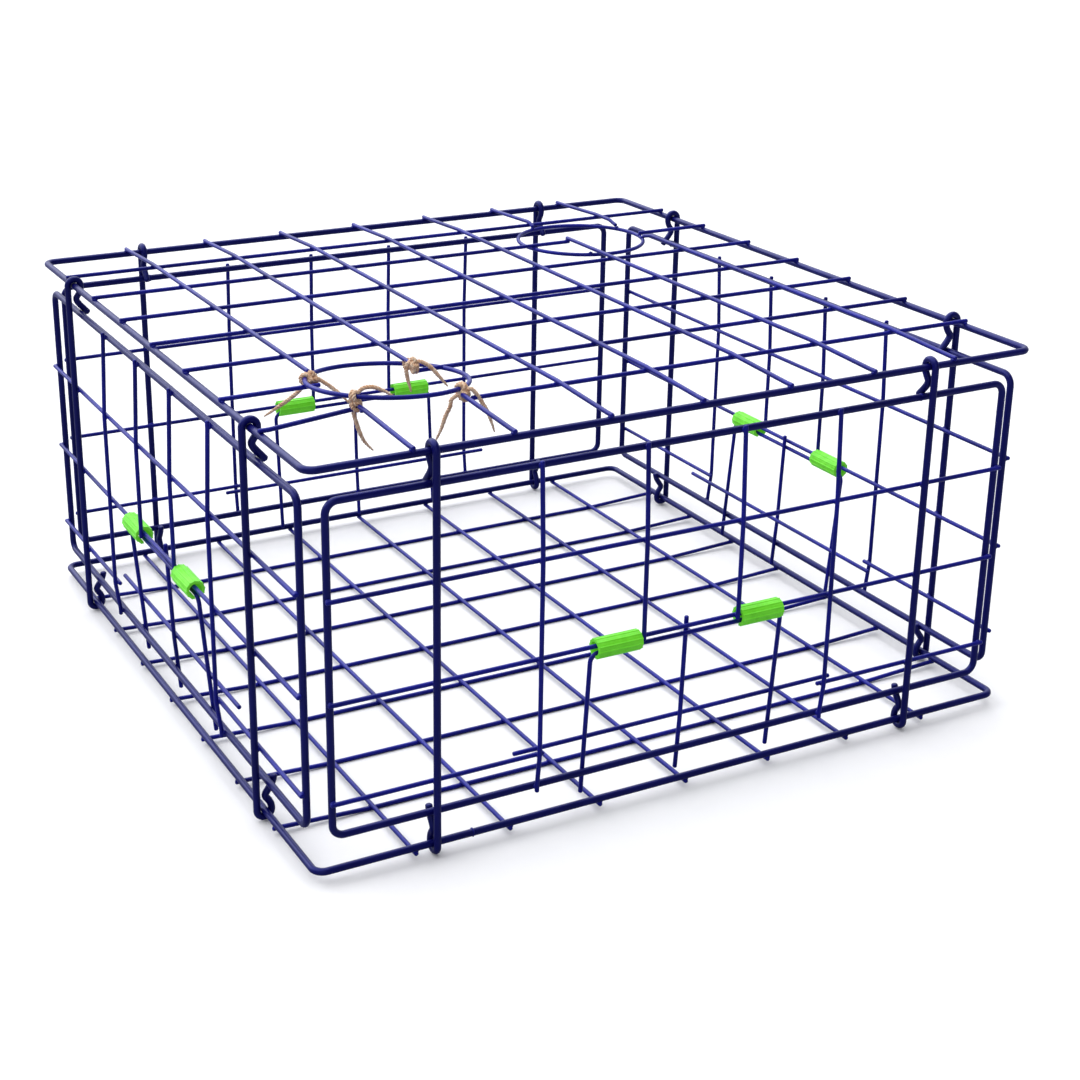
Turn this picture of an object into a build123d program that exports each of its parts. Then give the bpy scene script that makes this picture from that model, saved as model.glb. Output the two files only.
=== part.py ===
from build123d import *
import math
import os

# Folding crab trap: a square cage of plastic-coated steel rod and wire.
# A base grid and a lid grid are joined by four identical side panels, whose
# long rods end in snap hooks over the base and lid frame rods. Every panel
# has a one-way gate hung by two clips, and the lid has two escape rings.
# Millimetres, +Z up, X along the front panel, Y towards the back. The origin
# is on the floor under the middle of the trap, which stands on its hooks.

ROD = 5.5                # thick rod: frames, panel loops and hook rods
WIRE = 3.5               # thin wire: grids, panel wires and gates
WELD = 0.3               # depth two crossing rods are welded into each other
PITCH = 76.2             # grid spacing, three inches
GRID_COUNT = 7           # wires each way in the base and in the lid
HALF = 4 * PITCH         # half of the frame square, rod centre to centre
FRAME_CORNER = 8.5       # bend of the frame rods
STUB = 2.6               # grid wire past the frame rod's centre
SOFT_END = 1.1           # rounding of the coating over cut ends
WIRE_BEND = 12.0         # curve where a wire steps over another
RISE = 298.0             # base frame rod to lid frame rod

PANEL_HALF = 287.0       # half width of a panel loop
PANEL_SLIDE = 3.8        # how far a panel sits off centre along its rod
LOOP_GAP = 24.3          # loop rod to the nearest frame rod
LOOP_CORNER = 9.0
CROSS_HEIGHTS = (51.6, 127.8, 204.0)
UPRIGHT_FULL = 127.0     # full uprights, beside the gate opening
UPRIGHT_SHORT = 41.4     # short uprights, above the gate
HOOK_SPOT = 210.0        # hook rods, from the panel's middle
HOOK_BEND = 5.7          # hook rod to the frame rod it closes round

ON_LOOP = (ROD + WIRE) / 2 - WELD           # wire lying on a loop or frame rod
ON_WIRE = ON_LOOP + WIRE - WELD             # wire lying on that wire
HOOK_OUT = ON_LOOP + (WIRE + ROD) / 2 - WELD
LOOP_IN = HOOK_OUT - HOOK_BEND              # loops sit inside the frame rods
BASE_Z = ON_WIRE + WIRE / 2                 # the trap stands on its base wires
LID_Z = BASE_Z + RISE

GATE_HALF = 83.8         # gate legs, from the panel's middle
GATE_BEND = 7.0
GATE_DROP = 6.3          # gate top rod below the wire it hangs from
GATE_LEG_END = 3.5       # leg ends above the base frame rod's centre
GATE_BAR_HALF = 142.0
GATE_BAR_HEIGHT = 50.0
GATE_STUB = 12.0         # middle upright above the gate's top rod
CLIP_SPAN = (44.0, 81.0)
CLIP_BORE = 5.3
CLIP_OUTER = 7.4
CLIP_SLOT = 3.0
CLIP_RIBS = 12

RING = 59.5              # escape ring, centre of the wire
RING_A = (-186.0, -174.0)
RING_A_LIFT = 8.0
RING_A_TILT = 5.5        # the tied ring sits a little askew
RING_B = (174.0, 165.2)
TWINE = 3.0

# side name, turn about Z, slide along the panel in its own direction
SIDES = (
    ("front", 0, -PANEL_SLIDE),
    ("right", 90, -PANEL_SLIDE),
    ("back", 180, PANEL_SLIDE),
    ("left", 270, -PANEL_SLIDE),
)

GRID = [(i - (GRID_COUNT - 1) / 2) * PITCH for i in range(GRID_COUNT)]


def bar(start, end, diameter):
    """Straight round bar between two points."""
    start = Vector(*start)
    axis = Vector(*end) - start
    place = Plane(origin=start, z_dir=axis)
    return place * Cylinder(diameter / 2, axis.length, align=(Align.CENTER, Align.CENTER, Align.MIN))


def soften(wire, tips, radius=SOFT_END):
    """Rounds the cut ends at these points, where the coating has run over."""
    for tip in tips:
        end = wire.faces().filter_by(GeomType.PLANE).sort_by_distance(tip)[0]
        wire = fillet(end.edges(), radius)
    return wire


def bent(points, diameter, radius=SOFT_END):
    """Round wire through several points, curved at each slight bend."""
    if len(points) == 2:
        return soften(bar(points[0], points[1], diameter), points, radius)
    path = FilletPolyline(*points, radius=WIRE_BEND)
    return soften(swept(path, diameter), (points[0], points[-1]), radius)


def knotted(points, diameter):
    """Round twine through several points, with a ball at each bend."""
    twine = bar(points[0], points[1], diameter)
    for here, there in zip(points[1:], points[2:]):
        twine = twine + Pos(*here) * Sphere(diameter / 2) + bar(here, there, diameter)
    return twine


def swept(path, diameter):
    """Round rod along a smooth path."""
    start = Plane(origin=path @ 0, z_dir=path % 0)
    return sweep(start * Circle(diameter / 2), path=path)


def group(name, solids):
    """One node from several separate solids."""
    shapes = []
    for item in solids:
        shapes.extend(item.solids())
    node = Compound(label=name, children=shapes) if len(shapes) > 1 else shapes[0]
    node.label = name
    export_step(node, os.path.join("parts", name + ".step"))
    return node


def frame_rod(z):
    """Rounded square frame, bent from one rod and butt welded."""
    half = HALF - FRAME_CORNER
    loop = RectangleRounded(2 * HALF, 2 * HALF, FRAME_CORNER).face().outer_wire()
    return swept(Pos(0, 0, z) * loop, ROD)


# ---------------------------------------------------------------- base grid

def base_wires():
    """Grid under the base rod: front-to-back wires, then the cross wires."""
    reach = HALF + STUB
    level = BASE_Z - ON_LOOP
    low = BASE_Z - ON_WIRE
    long_wires = [bent([(x, -reach, level), (x, reach, level)], WIRE) for x in GRID]
    cross = []
    for y in GRID:
        edge = HALF - ROD
        points = [(-reach, y, level), (-edge, y, level), (GRID[0], y, low)]
        points += [(GRID[-1], y, low), (edge, y, level), (reach, y, level)]
        cross.append(bent(points, WIRE))
    return long_wires, cross


# ----------------------------------------------------------------- lid grid

LID_LEVEL = LID_Z + ON_LOOP      # cross wires, directly on the frame
LID_HIGH = LID_Z + ON_WIRE       # long wires, over the cross wires
RING_B_Z = LID_LEVEL - WIRE + WELD
NODE = 2 * PITCH                 # grid crossing kept inside each ring


def half_chord(ring, offset):
    """Half length of the chord of a ring at an offset from its centre."""
    return math.sqrt(ring * ring - offset * offset)


def lid_long_wire(x, start, end, dips=False):
    """Front-to-back lid wire, dipping to the frame rod at a full end."""
    edge = HALF - ROD
    reach = HALF + STUB
    points = []
    if start is None:
        points += [(x, -reach, LID_LEVEL), (x, -edge, LID_LEVEL), (x, GRID[0], LID_HIGH)]
    else:
        crest = min(start + 14, GRID[-1])
        points += [(x, start, LID_LEVEL), (x, crest, LID_HIGH)] if dips else [(x, start, LID_HIGH)]
    if end is None:
        points += [(x, GRID[-1], LID_HIGH), (x, edge, LID_LEVEL), (x, reach, LID_LEVEL)]
    else:
        points += [(x, end - 14, LID_HIGH), (x, end, LID_LEVEL)] if dips else [(x, end, LID_HIGH)]
    return list(dict.fromkeys(points))


def lid_wires():
    """Lid grid on top of the frame, cut away inside the two escape rings."""
    reach = HALF + STUB
    ax, ay = RING_A
    bx, by = RING_B
    tip = RING + WIRE / 2
    # each long wire is (x, start, end, dips); None is a full end at the frame
    cuts = {
        -NODE: [(None, ay - half_chord(RING, -NODE - ax) - 4, False), (-NODE - 2, None, False)],
        GRID[0]: [(None, ay - half_chord(RING, GRID[0] - ax) - 4, False),
                  (ay + half_chord(RING, GRID[0] - ax) + 4, None, False)],
        NODE: [(None, NODE + 2, False), (by + half_chord(tip, NODE - bx) - 3, None, True)],
        GRID[-1]: [(None, by - half_chord(tip, GRID[-1] - bx) + 3, True),
                   (by + half_chord(tip, GRID[-1] - bx) - 3, None, True)],
    }
    long_wires = []
    for x in GRID:
        for start, end, dips in cuts.get(x, [(None, None, False)]):
            long_wires.append(bent(lid_long_wire(x, start, end, dips), WIRE))
    spans = {
        -NODE: [(-reach, ax - half_chord(RING, -NODE - ay) + 12), (-NODE - 2, reach)],
        NODE: [(-reach, NODE + 2), (bx + half_chord(tip, NODE - by) - 3, reach)],
        GRID[0]: [(ax + 40, reach)],
    }
    cross = []
    for y in GRID:
        for start, end in spans.get(y, [(-reach, reach)]):
            cross.append(bent([(start, y, LID_LEVEL), (end, y, LID_LEVEL)], WIRE))
    # the first cross wire is cut at the tied ring and its left part turned to it
    left = [(-reach, GRID[0]), (-HALF + ROD, GRID[0]), (ax - 41, ay - 39)]
    cross.append(bent([(x, y, LID_LEVEL) for x, y in left], WIRE))
    return long_wires, cross


def ring_front_left():
    """Escape ring held by twine, tilted with its near edge up."""
    place = Plane(origin=(*RING_A, LID_Z + RING_A_LIFT), x_dir=(0.87, -0.49, 0))
    return place * Rot(X=-RING_A_TILT) * Torus(RING, WIRE / 2)


def ring_back_right():
    """Escape ring welded to the cut ends of the grid."""
    return Pos(*RING_B, RING_B_Z) * Torus(RING, WIRE / 2)


# knot offset from the ring centre, and where its loose ends and strands reach
TIES = (
    ("left", (-47.0, 27.0, 8.2), ((-29, 22, -33), (31, 0, -21))),
    ("front", (-42.5, -40.0, 9.2), ((12, 6, -39), (28, -3, 3))),
    ("back", (33.0, 23.5, 8.5), ((-5, -4, -18), (32, 2, -23), (9, 19, -6))),
    ("right", (36.5, -51.0, 8.2), ((-23, 0, -34), (24, 0, -34))),
)


def twine_tie(spot, ends):
    """Knot of twine round the ring and a wire end, with its loose tails."""
    centre = Vector(RING_A[0] + spot[0], RING_A[1] + spot[1], LID_Z + spot[2])
    knot = Pos(*centre) * Sphere(5.2)
    for reach in ends:
        side = Vector(reach[0], reach[1], 0).normalized()
        tip = centre + Vector(*reach)
        bulge = centre + side * 9 + Vector(0, 0, reach[2] * 0.1)
        middle = (bulge + tip) * 0.5 + side * 2
        knot += knotted([tuple(p) for p in (centre, bulge, middle, tip)], TWINE)
    return knot


# -------------------------------------------------------------- side panels

def spot(u, out, height, slide):
    """Point on the front panel: along it, outward from its loop rod, up."""
    return (u + slide, -HALF + LOOP_IN - out, BASE_Z + height)


def panel_loop(slide):
    """Rounded rectangle rod, the innermost layer of a panel."""
    tall = RISE - 2 * LOOP_GAP
    place = Plane(origin=spot(0, 0, RISE / 2, slide), x_dir=(1, 0, 0), z_dir=(0, -1, 0))
    loop = RectangleRounded(2 * PANEL_HALF, tall, LOOP_CORNER).face().outer_wire()
    return swept(place.from_local_coords(loop), ROD)


def cross_wires(slide):
    """Two full cross wires and the two short ones beside the gate."""
    end = PANEL_HALF + 2.8
    low, middle, high = CROSS_HEIGHTS
    runs = [(-end, end, middle), (-end, end, high)]
    runs += [(-end, -UPRIGHT_FULL + 5, low), (UPRIGHT_FULL - 5, end, low)]
    return [bent([spot(a, ON_LOOP, h, slide), spot(b, ON_LOOP, h, slide)], WIRE) for a, b, h in runs]


def upright_wires(slide):
    """Two full uprights and two short ones, on the outside of the cross wires."""
    low, middle, high = CROSS_HEIGHTS
    top = RISE - LOOP_GAP
    upper = [(ON_WIRE, high), (ON_LOOP, top - 2), (ON_LOOP, top + 4)]
    full = [(ON_LOOP, LOOP_GAP - 4), (ON_LOOP, LOOP_GAP + 2), (ON_WIRE, low)] + upper
    short = [(ON_WIRE, middle - 3)] + upper
    wires = []
    for u, line in ((UPRIGHT_FULL, full), (UPRIGHT_SHORT, short)):
        for side in (-u, u):
            wires.append(bent([spot(side, out, h, slide) for out, h in line], WIRE))
    return wires


def hook_rod(u, slide):
    """Thick rod up the outside, snapped over both frame rods at its ends."""
    def top(out, height):
        return Vector(*spot(u, LOOP_IN + out, RISE + height, slide))

    def bottom(out, height):
        return Vector(*spot(u, LOOP_IN + out, -height, slide))

    # tails: a waist close under the frame rod, then flared inward
    tails = ((top, 1, (-11.0, -25.5), (0.6, 0.8)), (bottom, -1, (-8.4, -27.5), (0.1, 1.0)))
    path = Line(bottom(HOOK_BEND, 0), top(HOOK_BEND, 0))
    parts = [path]
    for end, lift, tip, flare in tails:
        over = ThreePointArc(end(HOOK_BEND, 0), end(0, HOOK_BEND), end(-HOOK_BEND, 0))
        down = Vector(0, 0, -lift)
        away = Vector(0, flare[0], -lift * flare[1])
        tail = Spline(over @ 1, end(-1.2, -11.0), end(*tip), tangents=(down, away))
        parts += [over, tail]
    tips = [tuple(end(*tip)) for end, _, tip, _ in tails]
    return soften(swept(Wire(parts), ROD), tips, 1.6)


# ------------------------------------------------------------------- gates

GATE_TOP_HEIGHT = CROSS_HEIGHTS[1] - GATE_DROP
LEG_IN = (ROD + WIRE) / 2 + 0.2                    # legs rest inside the loop rod
GATE_TOP_OUT = 3.1
GATE_LEAN = math.degrees(math.atan((GATE_TOP_OUT + LEG_IN) / (GATE_TOP_HEIGHT - LOOP_GAP)))


def gate_plane(slide):
    """Plane of the gate, through its top rod, normal pointing outward."""
    lean = math.radians(GATE_LEAN)
    origin = spot(0, GATE_TOP_OUT, GATE_TOP_HEIGHT, slide)
    return Plane(origin=origin, x_dir=(1, 0, 0), z_dir=(0, -math.cos(lean), -math.sin(lean)))


def gate_length(height):
    """Distance down the gate to a height above the base rod."""
    return (GATE_TOP_HEIGHT - height) / math.cos(math.radians(GATE_LEAN))


def gate_frame(slide):
    """U-shaped wire: top rod with a leg at each end."""
    place = gate_plane(slide)
    low = -gate_length(GATE_LEG_END)
    path = FilletPolyline(
        (-GATE_HALF, low), (-GATE_HALF, 0), (GATE_HALF, 0), (GATE_HALF, low), radius=GATE_BEND
    )
    rod = swept(place.from_local_coords(path.wire()), WIRE)
    return soften(rod, [tuple(place.origin + place.x_dir * x + place.y_dir * low) for x in (-GATE_HALF, GATE_HALF)])


def gate_bars(slide):
    """Middle upright, and the bottom bar that is wider than the opening."""
    place = gate_plane(slide)
    behind = -(WIRE - WELD)
    low = -gate_length(GATE_LEG_END)
    level = -gate_length(GATE_BAR_HEIGHT)
    upright = bent([(0, GATE_STUB, behind * 1.16), (0, level, 0), (0, low, 0)], WIRE)
    cross = bent([(-GATE_BAR_HALF, level, behind), (GATE_BAR_HALF, level, behind)], WIRE)
    return place * (upright + cross)


def gate_clip(side, slide):
    """Ribbed clip round the panel wire and the gate's top rod, open below."""
    place = gate_plane(slide)
    lean = math.radians(GATE_LEAN)
    rise = ON_LOOP - GATE_TOP_OUT
    up = GATE_DROP * math.cos(lean) + rise * math.sin(lean)
    out = rise * math.cos(lean) - GATE_DROP * math.sin(lean)
    gap = math.hypot(up, out)
    hold = (CLIP_BORE - WIRE / 2 + 0.65) / gap
    length = CLIP_SPAN[1] - CLIP_SPAN[0]
    middle = side * (CLIP_SPAN[0] + CLIP_SPAN[1]) / 2
    body = Cylinder(CLIP_OUTER, length)
    for i in range(CLIP_RIBS):
        body += Rot(Z=360 * i / CLIP_RIBS) * Pos(CLIP_OUTER - 0.2, 0, 0) * Cylinder(0.7, length)
    body -= Cylinder(CLIP_BORE, length)
    body -= Pos(0, CLIP_OUTER, 0) * Box(CLIP_SLOT, CLIP_OUTER, length)
    turned = Plane(origin=(middle, up * hold, out * hold), x_dir=(0, 0, 1), z_dir=(1, 0, 0)) * body
    return place * turned


# ------------------------------------------------------------------- build

def main():
    os.makedirs("parts", exist_ok=True)
    long_wires, cross = base_wires()
    group("base_frame_rod", [frame_rod(BASE_Z)])
    group("base_long_wires", long_wires)
    group("base_cross_wires", cross)
    long_wires, cross = lid_wires()
    group("lid_frame_rod", [frame_rod(LID_Z)])
    group("lid_long_wires", long_wires)
    group("lid_cross_wires", cross)
    group("lid_ring_front_left", [ring_front_left()])
    group("lid_ring_back_right", [ring_back_right()])
    for name, place, ends in TIES:
        group("twine_tie_" + name, [twine_tie(place, ends)])
    for name, turn, slide in SIDES:
        around = Rot(Z=turn)
        group(name + "_panel_loop", [around * panel_loop(slide)])
        group(name + "_cross_wires", [around * wire for wire in cross_wires(slide)])
        group(name + "_upright_wires", [around * wire for wire in upright_wires(slide)])
        hooks = [around * hook_rod(u, slide) for u in (-HOOK_SPOT, HOOK_SPOT)]
        group(name + "_hook_rods", hooks)
        group(name + "_gate_frame", [around * gate_frame(slide)])
        group(name + "_gate_bars", [around * gate_bars(slide)])
        group(name + "_gate_clip_left", [around * gate_clip(-1, slide)])
        group(name + "_gate_clip_right", [around * gate_clip(1, slide)])


main()
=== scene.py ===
import math
import random

import bpy
import bmesh
import numpy as np
from mathutils import Matrix, Vector


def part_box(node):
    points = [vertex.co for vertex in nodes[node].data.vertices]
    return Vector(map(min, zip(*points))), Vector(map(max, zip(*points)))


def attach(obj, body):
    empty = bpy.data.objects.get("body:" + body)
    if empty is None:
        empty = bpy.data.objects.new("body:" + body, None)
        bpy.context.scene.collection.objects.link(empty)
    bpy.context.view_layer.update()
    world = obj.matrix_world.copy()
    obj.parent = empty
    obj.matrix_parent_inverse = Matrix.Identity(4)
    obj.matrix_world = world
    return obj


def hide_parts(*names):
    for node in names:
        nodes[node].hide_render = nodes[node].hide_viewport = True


MM = 0.001
TURN = 6.28    # random angles are drawn over about one turn
UP = Vector((0, 0, 1))

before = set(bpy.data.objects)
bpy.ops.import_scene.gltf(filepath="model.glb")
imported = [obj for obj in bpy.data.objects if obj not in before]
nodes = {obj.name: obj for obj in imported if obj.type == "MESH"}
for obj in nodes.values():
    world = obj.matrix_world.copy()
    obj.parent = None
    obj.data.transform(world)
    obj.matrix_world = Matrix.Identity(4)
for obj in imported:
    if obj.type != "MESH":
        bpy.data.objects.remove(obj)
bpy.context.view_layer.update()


# ------------------------------------------------------------------ materials

def node_of(tree, kind, **values):
    """Adds a shader node and sets its inputs or properties by name."""
    node = tree.nodes.new(kind)
    for key, value in values.items():
        if key in node.inputs:
            node.inputs[key].default_value = value
        else:
            setattr(node, key, value)
    return node


def start_material(name):
    """A new material, its tree, its Principled node and object coordinates."""
    mat = bpy.data.materials.new(name)
    mat.use_nodes = True
    tree = mat.node_tree
    bsdf = tree.nodes["Principled BSDF"]
    coords = tree.nodes.new("ShaderNodeTexCoord").outputs["Object"]
    return mat, tree, bsdf, coords


def noise(tree, coords, scale, detail=3.0, rough=0.5, distortion=0.0):
    """Noise texture over object coordinates in metres."""
    node = node_of(tree, "ShaderNodeTexNoise", Scale=scale, Detail=detail)
    node.inputs["Roughness"].default_value = rough
    node.inputs["Distortion"].default_value = distortion
    tree.links.new(coords, node.inputs["Vector"])
    return node.outputs["Fac"]


def ramp(tree, fac, stops):
    """Colour ramp; stops are (position, colour)."""
    node = tree.nodes.new("ShaderNodeValToRGB")
    elements = node.color_ramp.elements
    while len(elements) < len(stops):
        elements.new(0.5)
    for element, (place, colour) in zip(elements, stops):
        element.position = place
        element.color = (*colour, 1.0)
    tree.links.new(fac, node.inputs["Fac"])
    return node.outputs["Color"]


def mix(tree, fac, a, b):
    """Colour mix; a and b are sockets or colours, fac a socket or number."""
    node = tree.nodes.new("ShaderNodeMix")
    node.data_type = "RGBA"
    sockets = (node.inputs[0], node.inputs[6], node.inputs[7])
    for socket, value in zip(sockets, (fac, a, b)):
        if isinstance(value, bpy.types.NodeSocket):
            tree.links.new(value, socket)
        elif isinstance(value, tuple):
            socket.default_value = (*value, 1.0)
        else:
            socket.default_value = value
    return node.outputs[2]


def value_range(tree, fac, low, high, from_low=0.0, from_high=1.0):
    """Maps a socket from one range of values to another."""
    node = tree.nodes.new("ShaderNodeMapRange")
    node.inputs["From Min"].default_value = from_low
    node.inputs["From Max"].default_value = from_high
    node.inputs["To Min"].default_value = low
    node.inputs["To Max"].default_value = high
    tree.links.new(fac, node.inputs["Value"])
    return node.outputs["Result"]


def bump(tree, bsdf, layers):
    """Chains bump nodes; layers are (height socket, strength, distance)."""
    normal = None
    for height, strength, distance in layers:
        node = node_of(tree, "ShaderNodeBump", Strength=strength, Distance=distance)
        tree.links.new(height, node.inputs["Height"])
        if normal is not None:
            tree.links.new(normal, node.inputs["Normal"])
        normal = node.outputs["Normal"]
    tree.links.new(normal, bsdf.inputs["Normal"])


BLUE_DEEP = (0.0040, 0.0042, 0.150)
BLUE_MAIN = (0.0090, 0.0100, 0.270)
BLUE_PALE = (0.0160, 0.0190, 0.380)
SCUFF = (0.050, 0.060, 0.42)
STEEL = (0.26, 0.26, 0.28)
BLUE_PAINTED_SHADE = (0.0020, 0.0018, 0.055)    # painted shade: near-black blue standing in for the shaded sides of the rods
SKY_TINT = (0.22, 0.27, 1.0, 1.0)       # the coat mirrors white as blue


def coated_steel(name, orange_peel, wear, painted_shade_depth):
    """Glossy blue dip coating on steel: slight ripple, thin spots, scuffs, and painted
    shade over the whole coat.
    """
    mat, tree, bsdf, coords = start_material(name)
    drift = noise(tree, coords, 16.0, 2.0)
    stops = [(0.30, BLUE_DEEP), (0.52, BLUE_MAIN), (0.78, BLUE_PALE)]
    base = ramp(tree, drift, stops)
    speck = noise(tree, coords, 420.0, 2.0)
    base = mix(tree, value_range(tree, speck, 0.0, 0.45, 0.45, 0.75), base, BLUE_DEEP)
    rub = noise(tree, coords, 75.0, 5.0, 0.62, 0.6)
    scuffs = value_range(tree, rub, 0.0, wear, 0.62, 0.74)
    base = mix(tree, scuffs, base, SCUFF)
    # painted shade: the whole coat is darkened towards near-black blue, most on the thick
    # rods
    base = mix(tree, painted_shade_depth, base, BLUE_PAINTED_SHADE)
    flakes = noise(tree, coords, 190.0, 4.0, 0.7, 0.4)
    chips = value_range(tree, flakes, 0.0, 1.0, 0.785, 0.80)
    base = mix(tree, chips, base, STEEL)
    tree.links.new(base, bsdf.inputs["Base Color"])
    tree.links.new(value_range(tree, rub, 0.22, 0.40), bsdf.inputs["Roughness"])
    bsdf.inputs["Specular IOR Level"].default_value = 0.6
    bsdf.inputs["Specular Tint"].default_value = SKY_TINT
    bsdf.inputs["Coat Weight"].default_value = 0.10
    bsdf.inputs["Coat Roughness"].default_value = 0.14
    bsdf.inputs["Coat Tint"].default_value = (0.80, 0.84, 1.0, 1.0)
    ripple = noise(tree, coords, 260.0, 2.0)
    flow = noise(tree, coords, 60.0, 2.0)
    layers = [(flow, 0.35, 0.0006), (ripple, orange_peel, 0.00022)]
    bump(tree, bsdf, layers + [(rub, 0.15, 0.0001)])
    return mat


GREEN_MAIN = (0.150, 0.700, 0.025)
GREEN_DEEP = (0.125, 0.620, 0.018)
GREEN_PALE = (0.190, 0.760, 0.045)


def moulded_green():
    """Bright green moulded plastic with flow marks, fine surface grain and a faint painted
    glow.
    """
    mat, tree, bsdf, coords = start_material("moulded_green")
    flow = noise(tree, coords, 55.0, 4.0, 0.55, 1.2)
    stops = [(0.28, GREEN_DEEP), (0.50, GREEN_MAIN), (0.80, GREEN_PALE)]
    base = ramp(tree, flow, stops)
    stress = noise(tree, coords, 240.0, 3.0, 0.6)
    pale = value_range(tree, stress, 0.0, 0.35, 0.60, 0.80)
    base = mix(tree, pale, base, GREEN_PALE)
    tree.links.new(base, bsdf.inputs["Base Color"])
    tree.links.new(value_range(tree, stress, 0.30, 0.50), bsdf.inputs["Roughness"])
    bsdf.inputs["Subsurface Weight"].default_value = 0.12
    bsdf.inputs["Subsurface Radius"].default_value = (0.0015, 0.0030, 0.0008)
    bsdf.inputs["Specular IOR Level"].default_value = 0.42
    # painted light: the plastic glows a little in its own colour, to stay bright in the dim
    # front light
    tree.links.new(base, bsdf.inputs["Emission Color"])
    bsdf.inputs["Emission Strength"].default_value = 0.28
    grain = noise(tree, coords, 2600.0, 2.0)
    bump(tree, bsdf, [(flow, 0.10, 0.0003), (grain, 0.15, 0.00005)])
    return mat


# the pale colour is bleaching and also each strand's painted lit side; the dark one is
# grime and also painted shade
TWINE_BLEACH_AND_LIT = (0.95, 0.76, 0.56)
TWINE_MAIN = (0.80, 0.49, 0.29)
TWINE_GRIME_AND_SHADE = (0.40, 0.16, 0.075)


def jute():
    """Natural twine: fibrous strands with painted shade, each strand pale on one side and
    rusty brown on the other.
    """
    mat, tree, bsdf, coords = start_material("natural_twine")
    attribute = node_of(tree, "ShaderNodeAttribute", attribute_name="shade")
    # painted shade: the 'shade' attribute runs from dark brown on a strand's shaded side to
    # pale on its lit side
    stops = [(0.0, TWINE_GRIME_AND_SHADE), (0.45, TWINE_MAIN), (1.0, TWINE_BLEACH_AND_LIT)]
    tone = ramp(tree, attribute.outputs["Fac"], stops)
    patches = noise(tree, coords, 130.0, 3.0)
    bleached = value_range(tree, patches, 0.0, 0.55, 0.42, 0.70)
    tone = mix(tree, bleached, tone, TWINE_BLEACH_AND_LIT)
    fibres = noise(tree, coords, 2400.0, 4.0, 0.7, 1.5)
    grime = value_range(tree, fibres, 0.0, 0.3, 0.50, 0.75)
    tone = mix(tree, grime, tone, TWINE_GRIME_AND_SHADE)
    tree.links.new(tone, bsdf.inputs["Base Color"])
    bsdf.inputs["Roughness"].default_value = 0.86
    bsdf.inputs["Sheen Weight"].default_value = 0.35
    bsdf.inputs["Sheen Roughness"].default_value = 0.5
    bsdf.inputs["Specular IOR Level"].default_value = 0.2
    bump(tree, bsdf, [(fibres, 0.8, 0.00025)])
    return mat


def pale_floor():
    """White paper sweep; it throws less light back up than the lens sees."""
    mat, tree, bsdf, coords = start_material("paper_floor")
    fibre = noise(tree, coords, 30.0, 4.0)
    tone = ramp(tree, fibre, [(0.3, (0.95, 0.95, 0.965)), (0.7, (0.97, 0.97, 0.98))])
    path = tree.nodes.new("ShaderNodeLightPath")
    tone = mix(tree, path.outputs["Is Camera Ray"], (0.26, 0.27, 0.34), tone)
    tree.links.new(tone, bsdf.inputs["Base Color"])
    bsdf.inputs["Roughness"].default_value = 0.9
    bsdf.inputs["Specular IOR Level"].default_value = 0.1
    return mat


# the thick rods' coat is a darker copy of the thin one; its extra darkness is painted shade
thick_coat = coated_steel("blue_coat_thick", 0.30, 0.55, 0.78)
thin_coat = coated_steel("blue_coat_thin", 0.22, 0.30, 0.12)
green = moulded_green()
twine_look = jute()

THICK = ("frame_rod", "panel_loop", "hook_rods")
for name, obj in nodes.items():
    if "clip" in name:
        look = green
    elif name.startswith("twine"):
        look = twine_look
    elif name.endswith(THICK):
        look = thick_coat
    else:
        look = thin_coat
    for slot in obj.material_slots:
        slot.material = look
    for face in obj.data.polygons:
        face.use_smooth = True


# ---------------------------------------------------------------- weld beads

def islands(obj):
    """Loose parts of a mesh, each as an array of its vertex positions."""
    mesh = obj.data
    places = np.array([v.co for v in mesh.vertices], float).reshape(-1, 3)
    keys = {}
    same = [keys.setdefault(tuple(np.round(p, 6)), i) for i, p in enumerate(places)]
    parent = list(range(len(places)))

    def root(i):
        while parent[i] != i:
            parent[i] = parent[parent[i]]
            i = parent[i]
        return i

    for i, j in enumerate(same):
        parent[root(i)] = root(j)
    for edge in mesh.edges:
        a, b = edge.vertices
        parent[root(a)] = root(b)
    groups = {}
    for i in range(len(places)):
        groups.setdefault(root(i), []).append(i)
    return [places[ids] for ids in groups.values()]


WIRE = 3.5 * MM
ROD = 5.5 * MM
BEAD = 2.2 * MM


def loop_sides(points):
    """A rounded rectangle rod as four boxes, one along each side."""
    low, high = points.min(0), points.max(0)
    flat = int(np.argmin(high - low))
    boxes = []
    for axis in range(3):
        if axis == flat:
            continue
        for edge in (0, 1):
            a, b = low.copy(), high.copy()
            if edge:
                a[axis] = high[axis] - ROD
            else:
                b[axis] = low[axis] + ROD
            boxes.append((a, b))
    return boxes


def sections(name):
    """Boxes of the straight bars of a node."""
    parts = islands(nodes[name])
    if name.endswith(("frame_rod", "panel_loop")):
        return [box for part in parts for box in loop_sides(part)]
    return [(part.min(0), part.max(0)) for part in parts]


def crossings(inner, outer, outward, thickness):
    """Points where bars of the outer node lie on bars of the inner node."""
    found = []
    for a_low, a_high in sections(inner):
        for b_low, b_high in sections(outer):
            low = np.maximum(a_low, b_low)
            high = np.minimum(a_high, b_high)
            if not (high - low > -MM).all():
                continue
            centre = Vector((low + high) / 2)
            hit, place, _, _ = nodes[outer].ray_cast(centre + outward * 0.03, -outward)
            if hit:
                found.append(place - outward * (thickness - 0.15 * MM))
    return found


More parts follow.
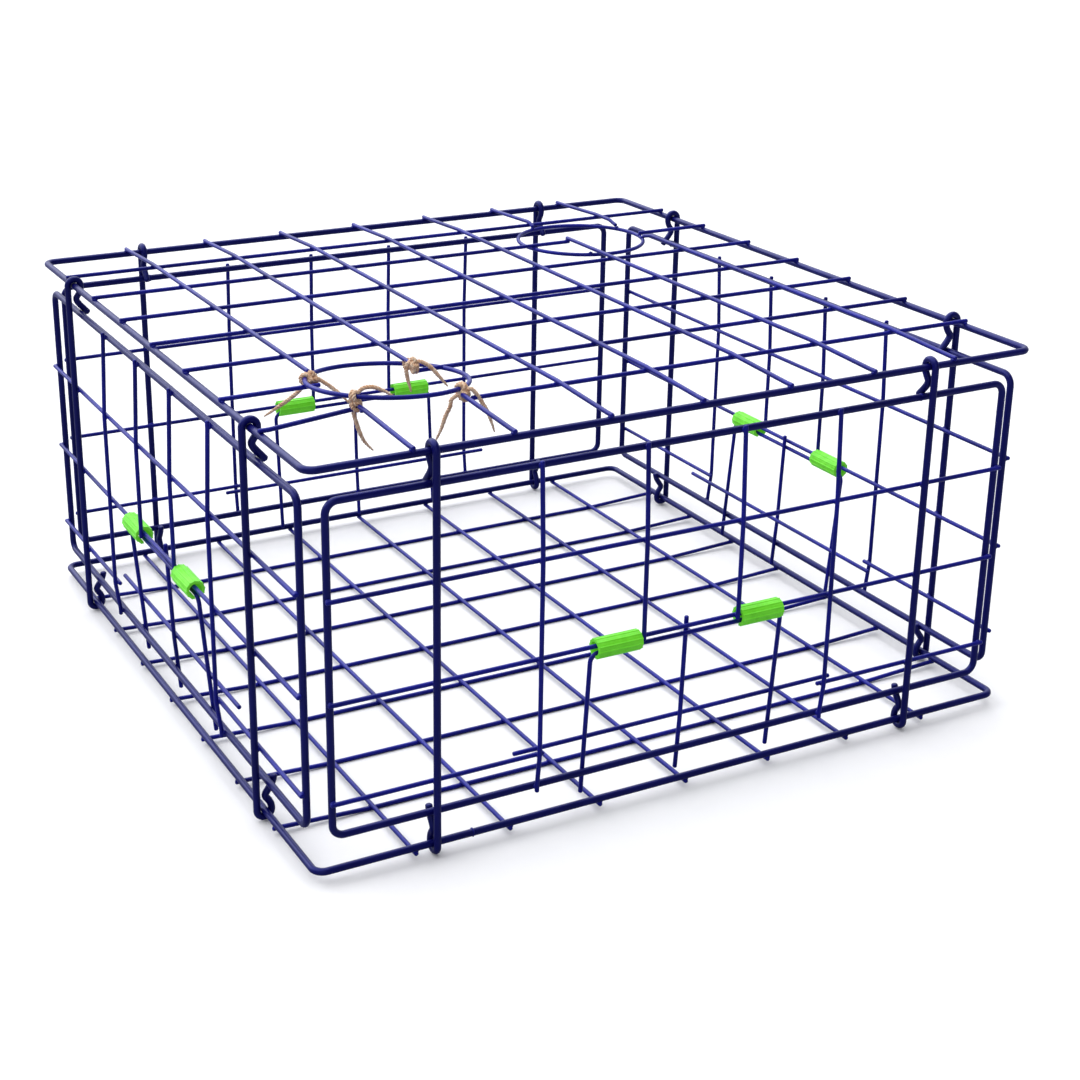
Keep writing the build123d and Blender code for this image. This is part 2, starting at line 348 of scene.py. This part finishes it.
def ring_crossings(ring, wires):
    """Points where grid wires meet a flat welded ring."""
    low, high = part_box(ring)
    centre = (low + high) / 2
    radius = (high.x - low.x - WIRE) / 2
    found = []
    for a, b in sections(wires):
        run = int(np.argmax(b - a))
        side = 1 - run
        offset = (a[side] + b[side]) / 2 - centre[side]
        if abs(offset) >= radius:
            continue
        for sign in (-1, 1):
            along = centre[run] + sign * math.sqrt(radius ** 2 - offset ** 2)
            if a[run] - 2 * MM < along < b[run] + 2 * MM:
                place = centre.copy()
                place[run], place[side] = along, centre[side] + offset
                found.append(place + UP * 1.6 * MM)
    return found


def add_lump(mesh, centre, normal, wide, tall, rng):
    """A lumpy ball, wide across the normal and tall along it."""
    ball = bmesh.ops.create_icosphere(mesh, subdivisions=2, radius=1.0)
    turn = normal.to_track_quat("Z", "Y").to_matrix()
    wide *= rng.uniform(0.92, 1.10)
    shift = [rng.uniform(0, TURN) for _ in range(3)]
    for vertex in ball["verts"]:
        p = vertex.co.copy()
        lump = 1 + 0.07 * math.sin(3.1 * p.x + shift[0])
        lump += 0.06 * math.sin(4.3 * p.y + shift[1])
        lump += 0.05 * math.sin(5.2 * p.z + shift[2])
        p = Vector((p.x * wide * lump, p.y * wide * lump, p.z * tall * lump))
        vertex.co = turn @ p + centre


def weld_piece(name, body, lumps, slot, seed):
    """One mesh of welds riding on a body; lumps are (centre, normal, wide, tall)."""
    rng = random.Random(seed)
    mesh = bmesh.new()
    for lump in lumps:
        add_lump(mesh, *lump, rng)
    data = bpy.data.meshes.new(name)
    mesh.to_mesh(data)
    mesh.free()
    data.polygons.foreach_set("use_smooth", [True] * len(data.polygons))
    data.materials.append(thin_coat)
    piece = bpy.data.objects.new(name, data)
    bpy.context.scene.collection.objects.link(piece)
    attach(piece, body)


def beads(places, normal, size=BEAD):
    return [(place, normal, size, size * 0.62) for place in places]


SIDES = {
    "front": Vector((0, -1, 0)),
    "right": Vector((1, 0, 0)),
    "back": Vector((0, 1, 0)),
    "left": Vector((-1, 0, 0)),
}

for part, outward in (("base", -UP), ("lid", UP)):
    rod, first, second = part + "_frame_rod", part + "_long_wires", part + "_cross_wires"
    if part == "lid":
        first, second = second, first
    lumps = beads(crossings(first, second, outward, WIRE), outward)
    lumps += beads(crossings(rod, first, outward, WIRE), outward, BEAD * 1.15)
    lumps += beads(crossings(rod, second, outward, WIRE), outward, BEAD * 1.15)
    low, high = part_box(rod)
    seam = Vector((-0.183, low.y + ROD / 2, (low.z + high.z) / 2))
    lumps.append((seam, Vector((1, 0, 0)), ROD * 0.57, 1.3 * MM))
    if part == "lid":
        lumps += beads(ring_crossings("lid_ring_back_right", first), UP)
        lumps += beads(ring_crossings("lid_ring_back_right", second), UP)
    weld_piece(part + "_welds", part, lumps, part + "_long_wires", len(lumps))

for seed, (side, out) in enumerate(SIDES.items()):
    loop, cross = side + "_panel_loop", side + "_cross_wires"
    uprights, hooks = side + "_upright_wires", side + "_hook_rods"
    lumps = beads(crossings(cross, uprights, out, WIRE), out)
    lumps += beads(crossings(loop, cross, out, WIRE), out, BEAD * 1.15)
    lumps += beads(crossings(loop, uprights, out, WIRE), out, BEAD * 1.15)
    lumps += beads(crossings(cross, hooks, out, ROD), out, BEAD * 1.25)
    low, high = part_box(loop)
    along = UP.cross(out)
    middle = (low + high) / 2
    seam = middle + along * 0.205 + UP * ((high.z - low.z - ROD) / 2)
    lumps.append((seam, along, ROD * 0.57, 1.3 * MM))
    weld_piece(side + "_panel_welds", side + "_panel", lumps, cross, 40 + seed)


# --------------------------------------------------------------------- twine

def smooth_path(points, per_span):
    """Catmull-Rom samples through the points."""
    points = [Vector(p) for p in points]
    padded = [points[0] * 2 - points[1]] + points + [points[-1] * 2 - points[-2]]
    out = []
    for i in range(1, len(padded) - 2):
        p0, p1, p2, p3 = padded[i - 1:i + 3]
        for k in range(per_span):
            t = k / per_span
            a = 2 * p1 + (p2 - p0) * t
            b = (2 * p0 - 5 * p1 + 4 * p2 - p3) * t * t
            c = (3 * p1 - p0 - 3 * p2 + p3) * t ** 3
            out.append((a + b + c) * 0.5)
    out.append(points[-1])
    return out


def even(points, step):
    """The same path at even spacing."""
    lengths = [0.0]
    for a, b in zip(points, points[1:]):
        lengths.append(lengths[-1] + (b - a).length)
    count = max(4, int(lengths[-1] / step))
    out = []
    j = 0
    for i in range(count + 1):
        want = lengths[-1] * i / count
        while j < len(lengths) - 2 and lengths[j + 1] < want:
            j += 1
        span = max(lengths[j + 1] - lengths[j], 1e-9)
        out.append(points[j].lerp(points[j + 1], (want - lengths[j]) / span))
    return out


def frames(path):
    """Tangent and side vectors carried along a path without twist."""
    tangents = []
    for i in range(len(path)):
        ahead, behind = path[min(i + 1, len(path) - 1)], path[max(i - 1, 0)]
        tangents.append((ahead - behind).normalized())
    side = tangents[0].orthogonal().normalized()
    out = []
    for tangent in tangents:
        side = (side - tangent * side.dot(tangent)).normalized()
        out.append((tangent, side, tangent.cross(side)))
    return out


def tube(mesh, shade, path, radii, sides, tone):
    """Closed round tube; tone(i, angle) gives each vertex its shade."""
    axes = frames(path)
    rings = []
    for i, (point, radius) in enumerate(zip(path, radii)):
        _, side, other = axes[i]
        ring = []
        for k in range(sides):
            angle = 2 * math.pi * k / sides
            away = side * math.cos(angle) + other * math.sin(angle)
            vertex = mesh.verts.new(point + away * radius)
            vertex[shade] = tone(i, angle)
            ring.append(vertex)
        rings.append(ring)
    for a, b in zip(rings, rings[1:]):
        for k in range(sides):
            mesh.faces.new((a[k], a[(k + 1) % sides], b[(k + 1) % sides], b[k]))
    mesh.faces.new(list(reversed(rings[0])))
    mesh.faces.new(rings[-1])


STRANDS = 3
LAY = 6.0 * MM
TWINE = 1.5 * MM
HAIR_RADII = [0.08 * MM, 0.06 * MM, 0.02 * MM]


def cord(mesh, shade, points, rng, taper=0.0, hairs=0):
    """Three-strand twine along a path, thinning over its last part."""
    path = even(smooth_path(points, 14), 0.5 * MM)
    axes = frames(path)
    count = len(path)
    step = (path[1] - path[0]).length
    travelled = [i * step for i in range(count)]
    thin = []
    for i in range(count):
        left = (count - 1 - i) / (count - 1)
        thin.append(1.0 if left >= taper else 0.36 + 0.64 * (left / taper) ** 0.8)
    phase = rng.uniform(0, TURN)
    for s in range(STRANDS):
        wobble = rng.uniform(0, TURN)
        line, radii = [], []
        for i in range(count):
            angle = phase + 2 * math.pi * (s / STRANDS + travelled[i] / LAY)
            _, side, other = axes[i]
            loose = 1 + 0.10 * math.sin(travelled[i] * 900 + wobble)
            plump = 1 + 0.10 * math.sin(travelled[i] * 1500 + wobble * 2)
            away = side * math.cos(angle) + other * math.sin(angle)
            line.append(path[i] + away * (TWINE * 0.60 * thin[i] * loose))
            radii.append(TWINE * 0.52 * thin[i] * plump)
        base = rng.uniform(0.50, 0.72)

        # painted shade: the cosine makes one side of each strand lighter and the other
        # darker; base and streak are random tone
        def tone(i, angle, base=base, wobble=wobble):
            streak = 0.12 * math.sin(travelled[i] * 2200 + wobble)
            return base + 0.26 * math.cos(angle + wobble) + streak

        tube(mesh, shade, line, radii, 8, tone)
    for _ in range(hairs):
        i = rng.randrange(1, count - 1)
        tangent, side, other = axes[i]
        angle = rng.uniform(0, TURN)
        away = side * math.cos(angle) + other * math.sin(angle)
        start = path[i] + away * TWINE * 0.8 * thin[i]
        bend = tangent * rng.uniform(0.3, 1.0) + away * rng.uniform(0.3, 0.9)
        tip = start + bend.normalized() * rng.uniform(1.0, 3.2) * MM
        mid = start.lerp(tip, 0.5) + away * 0.25 * MM
        tube(mesh, shade, [start, mid, tip], HAIR_RADII, 3, lambda i, a: 0.9)


def wraps(centre, axis, radius, turns, spread, start=0.0):
    """Turns of twine round a wire through centre."""
    axis = axis.normalized()
    side = axis.orthogonal().normalized()
    other = axis.cross(side)
    steps = max(6, int(turns * 10))
    out = []
    for i in range(steps + 1):
        t = i / steps
        angle = start + 2 * math.pi * turns * t
        away = side * math.cos(angle) + other * math.sin(angle)
        out.append(centre + axis * (t - 0.5) * spread + away * radius)
    return out


def overhand(centre, axis, size):
    """A pulled-tight overhand knot: a flattened trefoil on its side."""
    axis = axis.normalized()
    side = axis.orthogonal().normalized()
    other = axis.cross(side)
    out = []
    for i in range(31):
        t = 2 * math.pi * i / 30
        x = math.sin(t) + 1.7 * math.sin(2 * t)
        y = math.cos(t) - 1.7 * math.cos(2 * t)
        z = -1.1 * math.sin(3 * t)
        out.append(centre + (side * x + other * y) * size * 0.42 + axis * z * size * 0.42)
    return out


ring_low, ring_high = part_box("lid_ring_front_left")
RING_CENTRE = (ring_low + ring_high) / 2
RING_RADIUS = (ring_high.x - ring_low.x - WIRE) / 2
RING_TILT = math.radians(5.5)
RING_HINGE = Vector((0.87, -0.49, 0)).normalized()
ACROSS = Vector((0.885, -0.466, 0)).normalized()
SQUARE_X = Vector((1, 0, 0))
SQUARE_Y = Vector((0, 1, 0))

# each tie: knot from the ring's centre, ring heading in degrees, wire tied to,
# and its tails as (across, up) steps in millimetres from the knot
TIES = {
    "left": ((-47.0, 27.0, 0.2), 152, SQUARE_Y, (
        ((-6.1, -5.2), (-13.3, -12.4), (-24.3, -20.9), (-36.4, -29.4)),
        ((4.9, -1.0), (12.1, -5.9), (20.0, -12.4), (25.5, -18.3)))),
    "front": ((-42.5, -40.0, 1.2), 222, SQUARE_Y, (
        ((-2.4, -5.3), (-0.6, -14.3), (4.2, -27.4), (11.5, -35.9)),
        ((0.6, 5.2), (4.9, 9.8), (11.5, 11.1), (18.8, 8.5), (26.1, 4.3)))),
    "back": ((33.0, 23.5, 0.5), 50, SQUARE_X, (
        ((-5.0, 0.6), (-6.1, -5.3), (-4.9, -11.7), (-3.0, -20.9)),
        ((4.2, 2.6), (11.5, -1.4), (18.8, -9.8), (24.9, -17.0)))),
    "right": ((36.5, -51.0, 0.2), 306, SQUARE_Y, (
        ((-8.5, -5.3), (-10.3, -10.4), (-13.3, -18.3), (-17.0, -28.1), (-20.6, -37.8)),
        ((4.9, 2.4), (12.1, -6.6), (16.4, -14.3), (19.4, -22.8), (21.8, -30.0)))),
}


def ring_point(degrees):
    """Point on the tilted ring's wire, and the wire's direction there."""
    def place(angle):
        flat = Vector((math.cos(angle), math.sin(angle), 0)) * RING_RADIUS
        return RING_CENTRE + Matrix.Rotation(-RING_TILT, 3, RING_HINGE) @ flat

    angle = math.radians(degrees)
    return place(angle), (place(angle + 0.01) - place(angle - 0.01)).normalized()


def tie_piece(name, offset, heading, wire, tails, seed):
    """A twine tie: turns round the ring and the wire, a knot, frayed tails."""
    rng = random.Random(seed)
    knot = RING_CENTRE + Vector(offset) * MM
    on_ring, along = ring_point(heading)
    mesh = bmesh.new()
    shade = mesh.verts.layers.float.new("shade")
    reach = WIRE / 2 + TWINE * 0.95
    cord(mesh, shade, wraps(on_ring, along, reach, 2.3, 5.2 * MM, 0.4), rng, hairs=10)
    low_wire = Vector((knot.x, knot.y, knot.z - 2.2 * MM))
    cord(mesh, shade, wraps(low_wire, wire, reach * 1.05, 1.7, 4.4 * MM, 1.9), rng, hairs=8)
    span = knot - on_ring
    if span.length > 9 * MM:
        lift = UP * 1.8 * MM
        side = span.cross(UP).normalized() * 1.7 * MM
        for shift in (side, -side):
            middle = on_ring.lerp(knot, 0.5) + lift * 1.2 + shift
            line = [on_ring + lift + shift, middle, knot + shift]
            cord(mesh, shade, line, rng, hairs=4)
    lay_over = ACROSS + UP * 0.5
    cord(mesh, shade, overhand(knot + UP * 1.0 * MM, lay_over, 3.4 * MM), rng, hairs=8)
    for steps in tails:
        points = [knot + UP * MM]
        for reach_across, rise in steps:
            drift = SQUARE_Y * rng.uniform(-0.8, 0.8) * MM
            points.append(knot + ACROSS * reach_across * MM + UP * rise * MM + drift)
        cord(mesh, shade, points, rng, taper=0.38, hairs=30)
    data = bpy.data.meshes.new("twine_" + name)
    mesh.to_mesh(data)
    mesh.free()
    data.polygons.foreach_set("use_smooth", [True] * len(data.polygons))
    data.materials.append(twine_look)
    piece = bpy.data.objects.new("twine_" + name, data)
    bpy.context.scene.collection.objects.link(piece)
    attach(piece, "lid")
    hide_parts("twine_tie_" + name)


for seed, (name, (offset, heading, wire, tails)) in enumerate(TIES.items()):
    tie_piece(name, offset, heading, wire, tails, 90 + seed)


# --------------------------------------------------------- floor, light, camera

def soft_sun(name, toward, strength, spread, colour=(1, 1, 1)):
    """A very large soft light: its direction of travel, strength and spread."""
    data = bpy.data.lights.new(name, "SUN")
    data.energy = strength
    data.angle = math.radians(spread)
    data.color = colour
    lamp = bpy.data.objects.new(name, data)
    lamp.rotation_euler = Vector(toward).to_track_quat("-Z", "Y").to_euler()
    bpy.context.scene.collection.objects.link(lamp)


def make_floor():
    mesh = bmesh.new()
    bmesh.ops.create_grid(mesh, x_segments=8, y_segments=8, size=30)
    data = bpy.data.meshes.new("floor")
    mesh.to_mesh(data)
    mesh.free()
    data.materials.append(pale_floor())
    floor = bpy.data.objects.new("floor", data)
    bpy.context.scene.collection.objects.link(floor)


def make_world():
    """White to the lens; for the trap, bright behind and dim in front."""
    world = bpy.data.worlds.new("studio")
    world.use_nodes = True
    tree = world.node_tree
    tree.nodes.clear()
    out = tree.nodes.new("ShaderNodeOutputWorld")
    path = tree.nodes.new("ShaderNodeLightPath")
    coords = tree.nodes.new("ShaderNodeTexCoord")
    split = tree.nodes.new("ShaderNodeSeparateXYZ")
    tree.links.new(coords.outputs["Generated"], split.inputs[0])
    seen = node_of(tree, "ShaderNodeBackground", Strength=1.0)
    seen.inputs["Color"].default_value = (1, 1, 1, 1)
    soft = node_of(tree, "ShaderNodeBackground", Strength=1.0)
    soft.inputs["Color"].default_value = (0.92, 0.94, 1.0, 1)
    glow = value_range(tree, split.outputs["Y"], 0.16, 1.05, -0.25, 0.80)
    tree.links.new(glow, soft.inputs["Strength"])
    blend = tree.nodes.new("ShaderNodeMixShader")
    tree.links.new(path.outputs["Is Camera Ray"], blend.inputs["Fac"])
    tree.links.new(soft.outputs[0], blend.inputs[1])
    tree.links.new(seen.outputs[0], blend.inputs[2])
    tree.links.new(blend.outputs[0], out.inputs["Surface"])
    bpy.context.scene.world = world


def make_camera():
    """Standard three-quarter view from the front left, a little above."""
    heading, tilt, roll = 0.48517, 0.35682, 0.00696
    level = Vector((math.sin(heading), math.cos(heading), 0))
    forward = level * math.cos(tilt) - UP * math.sin(tilt)
    right = Vector((math.cos(heading), -math.sin(heading), 0))
    up = right.cross(forward)
    x_axis = right * math.cos(roll) + up * math.sin(roll)
    y_axis = up * math.cos(roll) - right * math.sin(roll)
    data = bpy.data.cameras.new("camera")
    data.sensor_width = 36.0
    data.lens = 63.59
    data.shift_x = 0.0497
    data.shift_y = -0.0596
    camera = bpy.data.objects.new("camera", data)
    turn = Matrix((x_axis, y_axis, -forward)).transposed().to_4x4()
    camera.matrix_world = Matrix.Translation((-0.73613, -1.37188, 0.73237)) @ turn
    bpy.context.scene.collection.objects.link(camera)
    bpy.context.scene.camera = camera


make_floor()
make_world()
soft_sun("key", (0.25, -0.45, -1.0), 3.0, 95)
soft_sun("fill", (0.5, 0.8, -0.55), 0.35, 60)
make_camera()

bpy.context.scene.view_settings.view_transform = "Standard"
